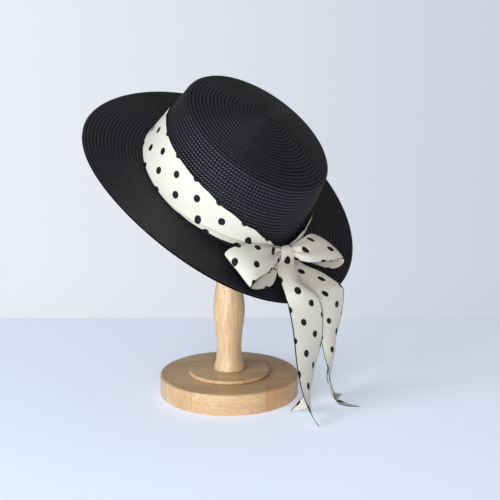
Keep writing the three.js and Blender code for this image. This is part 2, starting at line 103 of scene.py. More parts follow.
def grid_piece(name, points, uv, close_along=False, close_across=False):
    """A piece from points (rows, columns, 3) in millimetres and uv with one row and one column
    more wherever the grid closes. Quad (i, j) has the corners i, i+1 by j, j+1."""
    rows, columns, _ = points.shape
    index = wrapped(np.arange(rows * columns).reshape(rows, columns), close_along, close_across)
    quads = corners(index).reshape(-1, 4).tolist()
    mesh = bpy.data.meshes.new(name)
    mesh.from_pydata((points.reshape(-1, 3) * MM).tolist(), [], quads)
    layer = mesh.uv_layers.new(name="weave")
    layer.data.foreach_set("uv", corners(uv).reshape(-1).astype(np.float32))
    shape = bmesh.new()
    shape.from_mesh(mesh)
    bmesh.ops.remove_doubles(shape, verts=shape.verts, dist=MERGE_DISTANCE)
    bmesh.ops.dissolve_degenerate(shape, edges=shape.edges, dist=LEAST_EDGE)
    if shape.calc_volume(signed=True) < 0:
        bmesh.ops.reverse_faces(shape, faces=shape.faces)
    shape.to_mesh(mesh)
    shape.free()
    mesh.shade_smooth()
    piece = bpy.data.objects.new(name, mesh)
    bpy.context.collection.objects.link(piece)
    print(f"{name}: {len(mesh.polygons)} faces")
    return piece


# %% Stand-off along a grid's normals
def slope(grid, axis, closed=False):
    """The change of a grid's points from neighbour to neighbour, by central differences."""
    if not closed:
        return np.gradient(grid, axis=axis)
    return (np.roll(grid, -1, axis) - np.roll(grid, 1, axis)) / 2


def normals(points, close_along=False):
    """Unit normals: the slope along times the slope across, divided by its length."""
    cross = np.cross(slope(points, 0, close_along), slope(points, 1))
    return cross / np.maximum(np.linalg.norm(cross, axis=2, keepdims=True), LEAST_LENGTH)


# %% [markdown]
# ## How the hat hangs
# The hat is worked out upright, in its own frame: the origin in the head opening, Z up the
# crown. Then it is turned about its own axis and tilted towards the front right, as it hangs.

# %% The hat's own frame
HAT_CENTRE = np.array([-4.6, 15, 226.0])
HAT_TILT, HAT_LEAN, HAT_TURN = np.radians([39, -43, 140])


def turn_about(axis, angle):
    """Rodrigues' formula: I + sin(a) K + (1 - cos(a)) K K, with K the cross-product matrix."""
    x, y, z = axis
    cross = np.array([[0, -z, y], [z, 0, -x], [-y, x, 0]])
    return np.eye(3) + np.sin(angle) * cross + (1 - np.cos(angle)) * cross @ cross


lean_axis = (-np.sin(HAT_LEAN), np.cos(HAT_LEAN), 0)
HAT_AXES = turn_about(lean_axis, HAT_TILT) @ turn_about((0, 0, 1), HAT_TURN)


def hung(points):
    """From the hat's own frame to the stand's: turned, then moved."""
    return points @ HAT_AXES.T + HAT_CENTRE


print("the crown's axis points to", HAT_AXES[:, 2].round(3))

# %% [markdown]
# ## Straw
# The braid is 3.6 mm wide and sewn in rows, each lapping the last. So the crown and brim are
# drawn as an outline carried round an oval, and the outline gets one small rounded ridge for
# each row, with a sharp groove between. These ridges are real shape. The criss-cross of the
# braid's strands is finer than the mesh, so it is left to the bump in the straw's material.

# %% Straw sizes
GAP = 0.3
STRAW = 2.0
BRAID = 3.6
RIDGE, RIDGE_POWER = 0.42, 0.6
STEPS_PER_ROW = 6
CELL = 3.3  # length of one crossing of the braid's strands
HEAD_LONG, HEAD_SHORT = 98.5, 90.5
BRIM_WIDTH = 64.0
CROWN_HEIGHT, CROWN_TAPER = 81.0, 11.7
CROWN_ROUNDING, CROWN_ARC, CROWN_DOME = 8.0, np.radians(72), 17.5
DOME_POWER, BRIM_POWER = 1.5, 1.6


def ridge(share):
    """Lift of one row of braid at a share of its width: the sine of half a turn, to a power
    below one, so that the row is broad on top and the groove beside it is sharp."""
    return RIDGE * np.abs(np.sin(np.pi * share)) ** RIDGE_POWER


# %% The outline of the crown
SIDE_STEPS, ROUNDING_STEPS, TIP_STEPS = 60, 30, 120


def crown_outline():
    """Inset of the oval, shrink towards the middle and height, from the brim up the side, over
    the rounding and in to the middle of the tip. The tip's height falls from its middle as the
    share of its radius to the power 1.5."""
    side_top = CROWN_HEIGHT - CROWN_ROUNDING
    climb = np.linspace(0, 1, SIDE_STEPS)
    turn = np.linspace(0, CROWN_ARC, ROUNDING_STEPS)[1:]
    share = np.linspace(1, 0, TIP_STEPS)[1:]
    rim = CROWN_TAPER + CROWN_ROUNDING * (1 - np.cos(CROWN_ARC))
    inset = np.concatenate(
        [CROWN_TAPER * climb, CROWN_TAPER + CROWN_ROUNDING * (1 - np.cos(turn)), rim + 0 * share]
    )
    shrink = np.concatenate([1 + 0 * climb, 1 + 0 * turn, share])
    tip = CROWN_HEIGHT + CROWN_DOME * (1 - share**DOME_POWER)
    height = np.concatenate(
        [GAP / 2 + (side_top - GAP / 2) * climb, side_top + CROWN_ROUNDING * np.sin(turn), tip]
    )
    return np.stack([inset, shrink, height], axis=1)


def along_outline(outline, per_row):
    """The outline at even steps of its own length, per_row steps to each row of braid."""
    radius = (HEAD_SHORT - outline[:, 0]) * outline[:, 1]
    steps = np.hypot(np.diff(radius), np.diff(outline[:, 2]))
    length = np.concatenate([[0], np.cumsum(steps)])
    rows = round(length[-1] / BRAID)
    place = np.linspace(0, length[-1], rows * per_row + 1)
    even = np.stack([np.interp(place, length, outline[:, k]) for k in range(3)], axis=1)
    return even, place / length[-1] * rows


def off_outline(outline, lift):
    """Long radius, short radius and height of the outline, moved along its normal by lift."""
    long = (HEAD_LONG - outline[:, 0]) * outline[:, 1]
    short = (HEAD_SHORT - outline[:, 0]) * outline[:, 1]
    run, rise = np.gradient(short), np.gradient(outline[:, 2])
    length = np.hypot(run, rise)
    out, up = rise / length, -run / length
    out[-1], up[-1] = 0, 1
    long, short = (np.maximum(radius + lift * out, 0) for radius in (long, short))
    return np.stack([long, short, outline[:, 2] + lift * up], axis=1)


# %% The crown
AROUND_CROWN = 240


def ring_points(radii, angles):
    """Points (angles, outline, 3): the oval long cos a, short sin a at each outline height."""
    long, short, height = radii.T
    return np.stack(
        [
            np.cos(angles)[:, None] * long,
            np.sin(angles)[:, None] * short,
            np.broadcast_to(height, (len(angles), len(height))),
        ],
        axis=2,
    )


fine, fine_rows = along_outline(crown_outline(), STEPS_PER_ROW)
coarse, coarse_rows = along_outline(crown_outline(), 1)
outside = off_outline(fine, ridge(fine_rows % 1) - RIDGE / 2)
outside[0, 2] = GAP / 2
inside = off_outline(coarse, -STRAW)[::-1]
inside[-1, 2] = GAP / 2
crown_radii = np.concatenate([outside, inside])
crown_rows = np.concatenate([fine_rows, coarse_rows[::-1]])
crown_angles = np.linspace(0, 2 * np.pi, AROUND_CROWN, endpoint=False)


def crossings_uv(rows_at, radii, steps):
    """u: crossings of the braid round the ring; v: rows. The first column comes again at the
    end. Each ring of quads would want its own whole number of crossings; the number is taken
    from the girth where the ring starts."""
    girth = np.pi * (radii[:, 0] + radii[:, 1])
    count = np.maximum(np.round(girth / CELL), 1)
    rows_at, count = np.append(rows_at, rows_at[0]), np.append(count, count[0])
    share = np.linspace(0, 1, steps + 1)[:, None]
    return np.stack([share * count, np.broadcast_to(rows_at, (steps + 1, len(rows_at)))], axis=2)


crown = grid_piece(
    "straw_crown",
    hung(ring_points(crown_radii, crown_angles)),
    crossings_uv(crown_rows, crown_radii, AROUND_CROWN),
    close_along=True,
    close_across=True,
)
print("rows of braid up the crown and over its tip:", round(fine_rows[-1]))

# %% The brim
AROUND_BRIM = 300
BRIM_EDGE = 0.32  # half the thickness at the brim's two edges, as a share of the straw's
# waves round the oval, cosine part and sine part, in millimetres at the edge; another program
# found these values by a least-squares fit
BRIM_WAVES = (
    (0, -2.2, 0.0),
    (1, -6.95, 0.9),
    (2, -6.8, -3.3),
    (3, -0.1, -1.4),
)


def brim_middle(angles, share):
    """The middle of the brim's straw: the oval grows by the brim's width times the share, and
    the edge's waves, a sum of cosines and sines, grow as the share to the power 1.6."""
    edge = sum(c * np.cos(n * angles) + s * np.sin(n * angles) for n, c, s in BRIM_WAVES)
    rise = edge[:, None] * np.maximum(share, 0) ** BRIM_POWER - (STRAW + GAP) / 2
    reach = BRIM_WIDTH * share
    return np.stack(
        [
            np.cos(angles)[:, None] * (HEAD_LONG + reach),
            np.sin(angles)[:, None] * (HEAD_SHORT + reach),
            rise,
        ],
        axis=2,
    )


brim_rows = round(BRIM_WIDTH / BRAID)
rows_at = np.linspace(0, brim_rows, brim_rows * STEPS_PER_ROW + 1)
share = -STRAW / BRIM_WIDTH + (1 + STRAW / BRIM_WIDTH) * rows_at / brim_rows
brim_angles = np.linspace(0, 2 * np.pi, AROUND_BRIM, endpoint=False)
middle = brim_middle(brim_angles, share)
half = STRAW / 2 - RIDGE / 2 + ridge(rows_at % 1)
half[0] = half[-1] = STRAW * BRIM_EDGE
up = -normals(middle, close_along=True)
up *= np.sign(up[..., 2:])
brim_points = np.concatenate(
    [middle + up * half[:, None], (middle - up * half[:, None])[:, ::-1]], axis=1
)
brim_radii = np.stack([HEAD_LONG + BRIM_WIDTH * share, HEAD_SHORT + BRIM_WIDTH * share], axis=1)
brim = grid_piece(
    "straw_brim",
    hung(brim_points),
    crossings_uv(
        np.concatenate([rows_at, rows_at[::-1]]),
        np.concatenate([brim_radii, brim_radii[::-1]]),
        AROUND_BRIM,
    ),
    close_along=True,
    close_across=True,
)
print("rows of braid in the brim:", brim_rows)

# %% [markdown]
# ## Ribbon
# The ribbon is 44.5 mm wide and thin. Each length of it is a sheet: a middle surface, and two
# faces a quarter of a millimetre to either side. Its UV map is measured on the cloth itself, in
# millimetres along and across, so that the dots keep their size wherever the ribbon goes.

# %% Ribbon helpers
RIBBON_WIDTH = 44.5
CLOTH = 0.5


def smooth_curve(knots, places):
    """A Catmull-Rom curve through the knots, at places from 0 to 1: on each span the cubic
    whose slopes at its two knots are half the distance between each knot's neighbours."""
    before = 2 * knots[0] - knots[1]
    after = 2 * knots[-1] - knots[-2]
    padded = np.concatenate([[before], knots, [after]])
    span = np.clip(places, 0, 1) * (len(knots) - 1)
    first = np.minimum(span.astype(int), len(knots) - 2)
    t = (span - first)[:, None]
    a, b, c, d = (padded[first + k] for k in range(4))
    return 0.5 * (
        2 * b + (c - a) * t + (2 * a - 5 * b + 4 * c - d) * t**2 + (3 * b - a - 3 * c + d) * t**3
    )


def cloth_uv(points):
    """Millimetres along the ribbon, added up on its middle line, and across from one edge."""
    line = points[:, points.shape[1] // 2]
    steps = np.linalg.norm(np.diff(line, axis=0), axis=1)
    along = np.concatenate([[0], np.cumsum(steps)])
    across = np.linspace(0, RIBBON_WIDTH, points.shape[1])
    return np.stack(np.broadcast_arrays(along[:, None], across[None, :]), axis=2)


def cloth_piece(name, points, uv):
    """A thin closed sheet: the grid half the cloth's thickness to each side of the middle."""
    away = normals(points) * CLOTH / 2
    both = np.concatenate([points + away, (points - away)[:, ::-1]], axis=1)
    both_uv = np.concatenate([uv, uv[:, ::-1], uv[:, :1]], axis=1)
    # the first and last rows of the tube are pinched shut, so that its ends are closed too
    start = np.concatenate([points, points[:, ::-1]], axis=1)[:1]
    end = np.concatenate([points, points[:, ::-1]], axis=1)[-1:]
    both = np.concatenate([start, both, end], axis=0)
    both_uv = np.concatenate([both_uv[:1], both_uv, both_uv[-1:]], axis=0)
    return grid_piece(name, both, both_uv, close_across=True)


def cloth_area(points):
    """Area of the middle surface in square metres, quad by quad from its diagonals."""
    one = points[1:, 1:] - points[:-1, :-1]
    two = points[1:, :-1] - points[:-1, 1:]
    return np.linalg.norm(np.cross(one, two), axis=2).sum() / 2 * MM**2


# %% The band
BOW_ANGLE = 175.5
BAND_SEAM = 179.0
# place round the oval in degrees; heights of the lower edge, the fold and the upper edge; and
# how far the ribbon stands off the straw
BAND_ROWS = np.array(
    [
        (0, 0.6, 0.6, 44.5, 0.4),
        (45, 0.6, 0.6, 44.5, 0.4),
        (85, 0.6, 0.6, 44, 0.4),
        (100, 1.0, 1.6, 42.8, 0.5),
        (108, 1.2, 5.4, 41.5, 0.5),
        (127, 3, 11, 36.5, 0.8),
        (146, 4.5, 13, 29.5, 1),
        (160, 4, 10.8, 21, 1),
        (170, 2.5, 6.5, 13, 1.2),
        (179, 1.5, 2, 10, 2.2),
        (186, 1.5, 1.5, 17, 3),
        (192, 1.5, 1.5, 26, 4),
        (199, 1.5, 1.5, 38, 3.4),
        (214, 1.2, 1.2, 43.5, 1.8),
        (240, 0.6, 0.6, 44.5, 0.6),
        (300, 0.6, 0.6, 44.5, 0.4),
        (360, 0.6, 0.6, 44.5, 0.4),
    ]
)


def band_column(column, degrees):
    """A column of the band's table, eased from row to row by 3 t^2 - 2 t^3."""
    turn = degrees % 360
    after = np.clip(np.searchsorted(BAND_ROWS[:, 0], turn, side="right"), 1, len(BAND_ROWS) - 1)
    before = after - 1
    t = (turn - BAND_ROWS[before, 0]) / (BAND_ROWS[after, 0] - BAND_ROWS[before, 0])
    t = t * t * (3 - 2 * t)
    return BAND_ROWS[before, column] * (1 - t) + BAND_ROWS[after, column] * t


ALONG_BAND = 480
FOLD_STEPS, FACE_STEPS = 6, 26
FOLD_STAND = 2.8  # how far the folded edge stands off the cloth below it
FOLD_FADE = 6  # the stand-off falls by e to this power over the band's face
LEAST_FOLD = 0.3
FULL_FOLD = 4.0  # a fold narrower than this is only partly formed
degrees = BAND_SEAM + np.linspace(0.5, 359.5, ALONG_BAND)
low, fold, high, off = (band_column(k, degrees)[:, None] for k in (1, 2, 3, 4))
fold = np.maximum(fold, low + LEAST_FOLD)
below = low + (fold - low) * np.linspace(0, 1, FOLD_STEPS)
above = fold + (high - fold) * np.linspace(0, 1, FACE_STEPS)
band_z = np.concatenate([below, above], axis=1)
fold_share = np.clip((fold - low) / FULL_FOLD, 0, 1)
stand_off = np.concatenate(
    [
        np.repeat(off, FOLD_STEPS, axis=1),
        off + fold_share * FOLD_STAND * np.exp(-np.linspace(0, FOLD_FADE, FACE_STEPS)),
    ],
    axis=1,
)
inset = CROWN_TAPER / (CROWN_HEIGHT - CROWN_ROUNDING) * band_z - stand_off - CLOTH
angle = np.radians(degrees)[:, None]
band_points = np.stack(
    [(HEAD_LONG - inset) * np.cos(angle), (HEAD_SHORT - inset) * np.sin(angle), band_z], axis=2
)
band_uv = cloth_uv(band_points)
band_uv[:, :FOLD_STEPS, 1] = below - low
band_uv[:, FOLD_STEPS:, 1] = RIBBON_WIDTH - (high - above)
band = cloth_piece("ribbon_band", hung(band_points), band_uv)
print("the band measures", round(cloth_area(band_points), 4), "square metres")

# %% The bow's own frame
bow_turn = np.radians(BOW_ANGLE)
outwards = np.array([np.cos(bow_turn) / HEAD_LONG, np.sin(bow_turn) / HEAD_SHORT])
outwards /= np.linalg.norm(outwards)
BOW_ORIGIN = np.array([HEAD_LONG * np.cos(bow_turn), HEAD_SHORT * np.sin(bow_turn), 0])
BOW_AXES = np.array(
    [[-outwards[1], -outwards[0], 0], [outwards[0], -outwards[1], 0], [0, 0, 1]]
)


def at_bow(points):
    """From the bow's frame, +X right along the crown and +Y towards it, to the hat's."""
    return points @ BOW_AXES.T + BOW_ORIGIN


print("the bow sits at", hung(BOW_ORIGIN).round(1))

# %% [markdown]
# ## Loops and tails
# A loop or a tail is a strip between two edge curves. Each section's middle stands out from the
# straight line between the edges by the table's bulge. Near the knot the whole width is drawn
# together, so the strip is pleated there: a few waves across it that fade along its length.

# %% Strips
EASE = 1.05  # cloth lies up to this much longer than its section, in waves too small to draw
CORNER = 0.985  # 1 would fold the cloth to sharp corners
FIRST_LAYER, NEXT_LAYER = 0.9, 0.35
ROUNDING = 0.8
DRAWN_FADE = 30.0


def folded(place, width, share):
    """Cloth wider than its section goes back and forth behind it: a triangle wave with rounded
    corners, asin(c sin x) / asin(c). Place is 0 at the left fold and 1 at the right. Gives the
    place across the section from 0 to 1, and the distance behind it."""
    wave = np.arcsin(CORNER * np.sin(np.pi * (place - 0.5))) / np.arcsin(CORNER)
    across = place * (1 - share) + (1 + wave) / 2 * share
    past = np.maximum(np.maximum(-place, place - 1), 0)
    behind = FIRST_LAYER * (1 - np.exp(-past * width / ROUNDING)) + NEXT_LAYER * past
    return across, behind


def strip(rows, along, across, drawn=0.0, pleats=None):
    """Points and UV of a ribbon between two edge curves. Across each section the cloth lies at
    a + (b - a) w + normal (4 w (1 - w) bulge + pleat - behind), with w the place across. Such a
    bow of cloth is about 8/3 bulge^2 / width longer than its width. Where the cloth is drawn
    tight near its start, its print is drawn out by the given length."""
    places = np.linspace(0, 1, along)
    first, second = (smooth_curve(rows[:, k : k + 3], places) for k in (0, 3))
    bulge, hidden = (smooth_curve(rows[:, k : k + 1], places) for k in (6, 7))
    lengthwise = np.gradient(first, axis=0) + np.gradient(second, axis=0)
    out = np.cross(lengthwise, second - first)
    out /= np.linalg.norm(out, axis=1, keepdims=True)
    width = np.linalg.norm(second - first, axis=1, keepdims=True)
    shown = np.minimum(EASE * (width + 8 / 3 * bulge**2 / width), RIBBON_WIDTH)
    left = np.clip(hidden, 0, RIBBON_WIDTH - shown)
    cloth = np.linspace(0, RIBBON_WIDTH, across)[None, :]
    share = np.clip((RIBBON_WIDTH - shown) / FULL_FOLD, 0, 1)
    w, behind = folded((cloth - left) / shown, width, share)
    stand = 4 * w * (1 - w) * bulge - behind
    if pleats is not None:
        stand = stand + pleats(places[:, None], w)
    flat = first[:, None] + (second - first)[:, None] * w[..., None]
    line = (first + second) / 2 + out * bulge
    length = np.concatenate([[0], np.cumsum(np.linalg.norm(np.diff(line, axis=0), axis=1))])
    printed = length + drawn * np.exp(-length / DRAWN_FADE)
    uv = np.stack(np.broadcast_arrays(printed[:, None], cloth), axis=2)
    return flat + out[:, None] * stand[..., None], uv


def pleated(height, waves, start, end, fade):
    """Waves across the strip, -height cos(2 pi waves w), strongest at its drawn-in ends and
    fading with the distance from them."""
    def pleat(u, w):
        near = start * np.exp(-u / fade) + end * np.exp(-(1 - u) / fade)
        return -height * near * np.cos(2 * np.pi * waves * w)
    return pleat


# the positions in the loops' rows, and some in the tails', were worked out by another program
LOOP_LEFT = np.array(
    [  # edge by the crown x, y, z, outer edge x, y, z, bulge, cloth folded under the first edge
        (-6, -5.5, 13, -6, -10, 9.8, 0, 30),
        (-12.1, -2.7, 15, -14.6, -13.6, 11.1, 0.6, 30),
        (-21.3, 0.1, 16.6, -26.1, -20.9, 12.6, 1.6, 30),
        (-33.2, 2.9, 17.2, -38.3, -27.4, 13.8, 3, 30),
        (-47.4, 4.9, 17.2, -50.7, -31.3, 14.5, 3, 30),
        (-60.9, 6.7, 16.4, -63.4, -35.2, 13.8, 2.5, 30),
        (-70.4, 7.1, 14.6, -70.6, -37.6, 11.2, 1.5, 30),
        (-76.7, 5.8, 11.6, -73.5, -39.1, 8, 0.5, 30),
        (-76.6, 3.5, 8.2, -69.8, -40.8, 5.4, 0, 30),
        (-66.6, 0.7, 6.4, -59.6, -42.1, 4.4, 0, 30),
        (-49.6, -1, 6, -45.8, -41.1, 4.1, 0, 30),
        (-33.7, -2.6, 6.1, -33.8, -34.9, 4.3, 0, 30),
        (-18.9, -4.4, 6.7, -20.6, -22.4, 5.4, 0, 30),
        (-6, -5.9, 8.2, -6, -10, 7, 0, 30),
    ]
)
LOOP_RIGHT = np.array(
    [  # outer edge x, y, z, edge by the crown x, y, z, bulge, cloth folded under the first edge
        (4, -11.5, 10.5, 4, -5.5, 13.2, 0, 0),
        (8.5, -18.4, 11.3, 8.5, -4.6, 15, 0.6, 0),
        (15, -26, 12.2, 14.6, -3.3, 16.4, 2, 0),
        (27.9, -30.1, 13, 23.3, -1.3, 17.4, 2.5, 0),
        (44.5, -31.2, 12.8, 32.2, 1, 18, 2.5, 0),
        (59.4, -31, 12, 40.7, 2.9, 17.8, 2.5, 0),
        (70.6, -30.3, 10, 48.7, 3.5, 16.2, 3, 0),
        (74.6, -31.3, 7.6, 52.9, 2.6, 12.8, 3, 0),
        (72.2, -33.9, 5.6, 51.3, 0, 9.6, 2, 0),
        (63, -36.6, 4.6, 44.2, -2, 7.8, 0.5, 0),
        (50.4, -36.3, 4.5, 34.6, -3.8, 7, 0, 0),
        (38.1, -31, 5, 24, -5, 7, 0, 0),
        (20, -20, 6, 13, -5.5, 7.5, 0, 0),
        (3.9, -10, 7, 4, -6, 8.2, 0, 0),
    ]
)

# %% The two loops
ACROSS_RIBBON = 57
ALONG_LOOP = 180
PLEATS = pleated(height=3.2, waves=2, start=1, end=0.3, fade=0.14)
LOOPS = (  # name, table, flat length in metres
    ("ribbon_loop_left", LOOP_LEFT, 0.155),
    ("ribbon_loop_right", LOOP_RIGHT, 0.135),
)
loops = []
for name, rows, length in LOOPS:
    points, uv = strip(rows, ALONG_LOOP, ACROSS_RIBBON, pleats=PLEATS)
    loop = cloth_piece(name, hung(at_bow(points)), uv)
    print(name, "measures", round(cloth_area(points), 4), "square metres")
    loops.append(loop)
loop_left, loop_right = loops

# %% The two tails
ALONG_TAIL = 260
TAIL_NOTCH = 0.1
DRAWN_FRONT = 20.9  # the front tail's print is drawn out by this much at the knot
TAIL_FRONT = np.array(
    [  # left edge x, y, z, right edge x, y, z, bulge, cloth folded under on the left
        (54, -48, 172.3, 59.1, -43, 172.3, 0, 12),
        (55, -51.5, 173.4, 61.6, -45.2, 173.6, 0, 11),
        (55.1, -56.4, 171, 65.1, -47.9, 170.3, 0.3, 8.5),
        (54.9, -58.4, 166.6, 66.7, -48.5, 165.4, 0.5, 7.5),
        (54, -60.4, 162.6, 67.4, -49, 161.2, 1, 6.5),
        (51, -65.5, 158.6, 68, -56, 155.5, 2, 4.5),
        (50, -73, 154, 70.5, -64, 149.5, 3, 2),
        (52.5, -84, 146, 74, -71, 141, 4, 0),
        (57, -94.5, 135, 85.8, -76.5, 131.9, 4, 0),
        (60.5, -99, 122, 94.4, -71.5, 117.1, 2, 0),
        (64.5, -99.5, 102, 96.7, -65, 95, 2, 0),
        (67, -98.5, 81, 95.5, -60, 73, 3, 0),
        (69.5, -98.5, 60, 90.5, -60, 53, 4, 0),
        (74, -100.5, 38, 86, -60, 34.1, 4, 0),
        (79.5, -103.5, 22, 78.2, -60.5, 17.6, 5, 0),
        (86.5, -106.5, 9, 71.4, -61.5, 8.8, 3, 0),
        (92, -107.5, 1.6, 65, -63.4, 1.4, 0, 0),
    ]
)
TAIL_BACK = np.array(
    [  # the same columns
        (55, -49.3, 158.9, 57.2, -41.5, 161.9, 0, 16),
        (59.2, -50.6, 155.6, 64.5, -38, 160, 0, 14),
        (66, -50, 152, 80, -37, 150.5, 0.5, 10),
        (69.1, -55.1, 144.5, 95, -33, 143, 1, 4),
        (73.9, -63.2, 136.5, 109, -33.5, 134.7, 1, 0),
        (83.9, -66.8, 128.1, 118.3, -36.5, 127.5, 1.5, 0),
        (90.6, -69, 122.6, 120, -35, 119.5, 1.5, 0),
        (91.3, -68.3, 115.7, 119.6, -33.5, 109, 2.5, 0),
        (94.2, -57.5, 91.4, 116.9, -27, 84.3, 3.5, 0),
        (97.6, -55, 66.5, 110.8, -22, 59.4, 7, 0),
        (103, -54.5, 46, 107.7, -18, 38.6, 4, 0),
        (107, -56, 28, 105.8, -18, 22.3, 0, 0),
        (113.5, -53, 8.5, 112.5, -13, 6, -3, 0),
        (123, -51, 2.4, 116, -10.5, 1.8, 0, 0),
        (137.5, -50.5, 1.4, 122, -11.5, 1.4, 0, 0),
    ]
)


def notched(points):
    """A swallow's tail: each line along the ribbon stops short by a share that is greatest in
    the middle, and its points are spread again over what is left of it."""
    along, across, _ = points.shape
    place = np.linspace(0, 1, along)
    stop = 1 - TAIL_NOTCH * (1 - np.abs(2 * np.linspace(0, 1, across) - 1))
    lines = [
        [np.interp(place * stop[j], place, points[:, j, k]) for k in range(3)]
        for j in range(across)
    ]
    return np.transpose(np.array(lines), (2, 0, 1)), place[:, None] * stop[None, :]


def tail_piece(name, rows, drawn):
    whole, whole_uv = strip(rows, ALONG_TAIL, ACROSS_RIBBON, drawn)
    cut, places = notched(whole)
    uv = whole_uv.copy()
    uv[..., 0] = np.interp(places, np.linspace(0, 1, ALONG_TAIL), whole_uv[:, 0, 0])
    piece = cloth_piece(name, cut, uv)
    print(name, "is", round(whole_uv[-1, 0, 0], 1), "mm long and measures",
          round(cloth_area(cut), 4), "square metres")
    return piece


tail_front = tail_piece("ribbon_tail_front", TAIL_FRONT, DRAWN_FRONT)
tail_back = tail_piece("ribbon_tail_back", TAIL_BACK, 0.0)

# %% The knot
KNOT_CENTRE = np.array([-1.1, -7.6, 9.0])
KNOT_HALF = np.array([4.7, 4.5, 5.2])
KNOT_POWER = 3.2  # 2 would be an ellipsoid, more is squarer
KNOT_FOLDS, FOLD_DEPTH = 9, 0.06
KNOT_ROWS, KNOT_COLUMNS = 25, 54
KNOT_CLOTH = 30  # millimetres of ribbon round the knot
KNOT_LOW, KNOT_HIGH = 3, 11  # the part of the ribbon's width that shows on it


def squared(x):
    """A sine or cosine pushed towards -1 and 1, which squares off the ball that it draws."""
    return np.sign(x) * np.abs(x) ** (2 / KNOT_POWER)


def knot_points(rows, columns):
    """A ball whose rounding is squared off by a power, with upright folds round it."""
    turn = np.linspace(0, 2 * np.pi, columns, endpoint=False)[:, None]
    tilt = np.linspace(-np.pi / 2, np.pi / 2, rows)[None, :]
    fold = 1 - FOLD_DEPTH * (1 + np.cos(KNOT_FOLDS * turn)) * np.cos(tilt)
    flat = squared(np.cos(tilt)) * fold
    east, north = squared(np.cos(turn)) * flat, squared(np.sin(turn)) * flat
    ball = np.stack(np.broadcast_arrays(east, north, squared(np.sin(tilt))), axis=2)
    return KNOT_CENTRE + ball * KNOT_HALF


knot_grid = hung(at_bow(knot_points(KNOT_ROWS, KNOT_COLUMNS)))
knot_along = np.linspace(0, KNOT_CLOTH, KNOT_COLUMNS + 1)[:, None]
knot_across = np.linspace(KNOT_LOW, KNOT_HIGH, KNOT_ROWS)[None, :]
knot_uv = np.stack(np.broadcast_arrays(knot_along, knot_across), axis=2)
knot = grid_piece("ribbon_knot", knot_grid, knot_uv, close_along=True)

# %% [markdown]
# ## The turned stand
# Each wooden part is a profile spun on a lathe, so it is drawn as one: radius and height along
# the profile, carried round the axis. The corners are broken as a turner sands them.

# %% Turned parts
BASE_RADIUS, BASE_HEIGHT, BASE_ROUND = 75.0, 22.5, 2.5
STEP_RADIUS, STEP_HEIGHT, STEP_ROUND = 44.0, 4.0, 1.5
POST_ROWS = np.array(
    [  # height above the step, radius
        (0, 17),
        (4, 16.4),
        (12, 14.3),
        (25, 13.3),
        (40, 14.3),
        (54, 16.2),
        (66, 17.1),
        (78, 16.2),
        (89, 14.4),
        (105, 12.8),
        (130, 12.5),
    ]
)


AROUND_WOOD = 160
CORNER_STEPS = 10
FOOT_WIDTH, FOOT_TURN = 1.0, 0.3  # the lower corner is broken over this width, through this point


def turned(name, profile):
    """The profile (radius, height) spun round Z. It starts and ends on the axis."""
    angles = np.linspace(0, 2 * np.pi, AROUND_WOOD, endpoint=False)
    radii = np.stack([profile[:, 0], profile[:, 0], profile[:, 1]], axis=1)
    uv = np.zeros((AROUND_WOOD + 1, len(profile), 2))
    return grid_piece(name, ring_points(radii, angles), uv, close_along=True)


def disc_profile(radius, height, rounding, bottom):
    """Across the underside, up the rim, over a rounding of a quarter circle and back in."""
    turn = np.linspace(0, np.pi / 2, CORNER_STEPS)
    rim_radius = radius - rounding * (1 - np.cos(turn))
    rim_height = bottom + height - rounding * (1 - np.sin(turn))
    foot = [
        (0, bottom),
        (radius - FOOT_WIDTH, bottom),
        (radius - FOOT_TURN, bottom + FOOT_TURN),
        (radius, bottom + FOOT_WIDTH),
    ]
    rim = np.stack([rim_radius, rim_height], axis=1)
    return np.concatenate([foot, rim, [(0, bottom + height)]])


step_bottom = BASE_HEIGHT + GAP
post_bottom = step_bottom + STEP_HEIGHT + GAP
post_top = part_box("stand_post")[1][2] / MM
POST_STEPS = 120
POST_FOOT, POST_CHAMFER = 16.6, 0.4  # radius inside the broken lower corner, and its size
post_shape = smooth_curve(POST_ROWS, np.linspace(0, 1, POST_STEPS))
post_lift = POST_CHAMFER * (post_shape[:, 0] < POST_CHAMFER)
post_side = np.stack([post_shape[:, 1], post_shape[:, 0] + post_bottom + post_lift], axis=1)
post_profile = np.concatenate(
    [
        [(0, post_bottom), (POST_FOOT, post_bottom)],
        post_side,
        [(POST_ROWS[-1, 1], post_top), (0, post_top)],
    ]
)
base = turned("wood_base", disc_profile(BASE_RADIUS, BASE_HEIGHT, BASE_ROUND, 0.0))
step = turned("wood_step", disc_profile(STEP_RADIUS, STEP_HEIGHT, STEP_ROUND, step_bottom))
post = turned("wood_post", post_profile)

head_low, head_high = (np.array(corner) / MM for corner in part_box("stand_head"))
HEAD_CAP = 44.0  # height of the head's underside above the middle of its ball
HEAD_EDGE, HEAD_CHAMFER = 0.03, 1.2  # the broken lower edge: radians up the ball, and its width
HEAD_STEPS = 40
head_reach = head_high[2] - head_low[2]
ball_radius = head_reach + HEAD_CAP
turn = np.linspace(np.arcsin(HEAD_CAP / ball_radius) + HEAD_EDGE, np.pi / 2, HEAD_STEPS)
ball_middle = head_low[2] - HEAD_CAP
head_profile = np.concatenate(
    [
        [(0, head_low[2]), (ball_radius * np.cos(turn[0]) - HEAD_CHAMFER, head_low[2])],
        np.stack([ball_radius * np.cos(turn), ball_middle + ball_radius * np.sin(turn)], axis=1),
    ]
)
head_profile[-1, 0] = 0
head = turned("wood_head", head_profile)

# %% [markdown]
# ## Finishes
# A finish is a small network of nodes. A few helpers keep the networks readable: one adds a
# node, one joins a sum, product or other calculation onto what came before.

# %% Node helpers
def new_material(name):
    material = bpy.data.materials.new(name)
    material.use_nodes = True
    tree = material.node_tree
    return material, tree, tree.nodes["Principled BSDF"]


